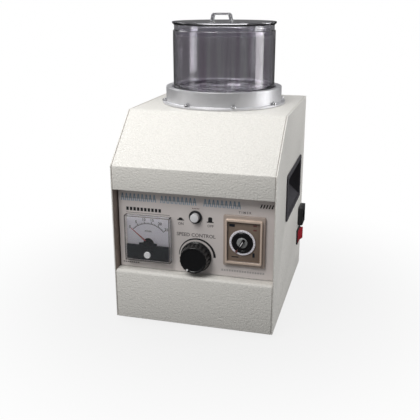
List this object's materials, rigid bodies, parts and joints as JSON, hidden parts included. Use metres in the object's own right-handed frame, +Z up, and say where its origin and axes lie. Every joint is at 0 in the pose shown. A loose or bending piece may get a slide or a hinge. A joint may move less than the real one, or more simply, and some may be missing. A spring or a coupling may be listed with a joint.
{
  "type": "magnetic barrel finisher",
  "caption": "Bench-top magnetic pin finisher: a clear lidded tub in a flanged ring on a sloped sheet-metal cabinet with speed knob, meter, timer and power switch.",
  "frame": {"origin": "centre of the footprint, side fittings included, on the surface the feet stand on", "axes": "+Z up, +Y towards the rear of the cabinet, +X to the user's right, towards the inlet"},
  "size_m": [0.209, 0.243, 0.3726],
  "materials": {
    "case_paint": "off-white leather-grain powder coat",
    "panel_film": "satin film label, light grey",
    "rubber": "moulded black rubber",
    "black_plastic": "fine-grained black moulding",
    "ring_aluminium": "turned, satin",
    "steel": "plain",
    "clear_acrylic": "clear, polished",
    "magnet": "dark sintered magnet",
    "dial_card": "printed card",
    "needle_red": "red lacquer",
    "white_plastic": "moulded white",
    "bronze_plastic": "metallic bronze moulding",
    "rocker_red": "translucent red moulding",
    "brass": "plain",
    "board": "green circuit board"
  },
  "bodies": {
    "cabinet": {"side_panel_left": "case_paint", "side_panel_right": "case_paint", "top_cover": "case_paint", "base_tray": "case_paint", "rear_panel": "case_paint", "control_panel": "case_paint", "panel_label": "panel_film", "foot_front_left": "rubber", "foot_front_right": "rubber", "foot_rear_left": "rubber", "foot_rear_right": "rubber", "hand_hold_left": "black_plastic", "hand_hold_right": "black_plastic", "power_switch": "black_plastic", "rocker_housing": "black_plastic", "power_inlet": "black_plastic", "meter_body": "black_plastic", "meter_mask": "black_plastic", "seat_ring": "ring_aluminium", "motor_top_cap": "ring_aluminium", "motor_bottom_cap": "ring_aluminium", "heat_sink": "ring_aluminium", "seat_plate": "steel", "motor_can": "steel", "upper_bearing": "steel", "lower_bearing": "steel", "motor_deck": "steel", "deck_post_front_left": "steel", "deck_post_front_right": "steel", "deck_post_rear_left": "steel", "deck_post_rear_right": "steel", "transformer_core": "steel", "speed_potentiometer": "steel", "meter_cover": "clear_acrylic", "meter_dial": "dial_card", "timer_frame": "bronze_plastic", "timer_body": "bronze_plastic", "inlet_pin_live": "brass", "inlet_pin_earth": "brass", "inlet_pin_neutral": "brass", "transformer_coil": "brass", "circuit_board": "board"},
    "tub": {"tub": "clear_acrylic"},
    "lid": {"lid": "clear_acrylic", "lid_handle": "clear_acrylic"},
    "magnet_disc": {"motor_shaft": "steel", "motor_armature": "steel", "disc_hub": "ring_aluminium", "magnet_yoke": "steel", "drive_magnet_1": "magnet", "drive_magnet_2": "magnet", "drive_magnet_3": "magnet", "drive_magnet_4": "magnet"},
    "speed_knob": {"speed_knob": "black_plastic", "speed_shaft": "steel"},
    "power_button": {"power_button": "white_plastic"},
    "meter_needle": {"meter_needle": "needle_red"},
    "zero_screw": {"meter_zero_screw": "white_plastic"},
    "timer_dial": {"timer_dial": "black_plastic"},
    "rocker": {"rocker_paddle": "rocker_red"}
  },
  "joints": [
    {"name": "tub_lift", "type": "slide", "parent": "cabinet", "child": "tub", "axis": [0, 0, 1], "range_m": [0, 0.12]},
    {"name": "lid_lift", "type": "slide", "parent": "tub", "child": "lid", "axis": [0, 0, 1], "range_m": [0, 0.06]},
    {"name": "disc_spin", "type": "hinge", "parent": "cabinet", "child": "magnet_disc", "pos_m": [-0.0025, 0.0385, 0.24], "axis": [0, 0, 1], "continuous": true},
    {"name": "speed_turn", "type": "hinge", "parent": "cabinet", "child": "speed_knob", "pos_m": [-0.0002, -0.1045, 0.0927], "axis": [0, 1, 0], "range_deg": [0, 300]},
    {"name": "power_press", "type": "slide", "parent": "cabinet", "child": "power_button", "axis": [0, 1, 0], "range_m": [0, 0.0035], "stiffness_N_per_m": 600, "springref_m": -0.001},
    {"name": "needle_swing", "type": "hinge", "parent": "cabinet", "child": "meter_needle", "pos_m": [-0.0605, -0.1085, 0.10433], "axis": [0, 1, 0], "range_deg": [0, 100], "stiffness_Nm_per_rad": 0.0002},
    {"name": "zero_turn", "type": "hinge", "parent": "cabinet", "child": "zero_screw", "pos_m": [-0.0605, -0.1105, 0.091], "axis": [0, 1, 0], "range_deg": [-45, 45]},
    {"name": "timer_turn", "type": "hinge", "parent": "cabinet", "child": "timer_dial", "pos_m": [0.0573, -0.1085, 0.1174], "axis": [0, 1, 0], "range_deg": [0, 300]},
    {"name": "rocker_tilt", "type": "hinge", "parent": "cabinet", "child": "rocker", "pos_m": [0.097, 0.0895, 0.061], "axis": [0, 0, 1], "range_deg": [0, 18]}
  ]
}
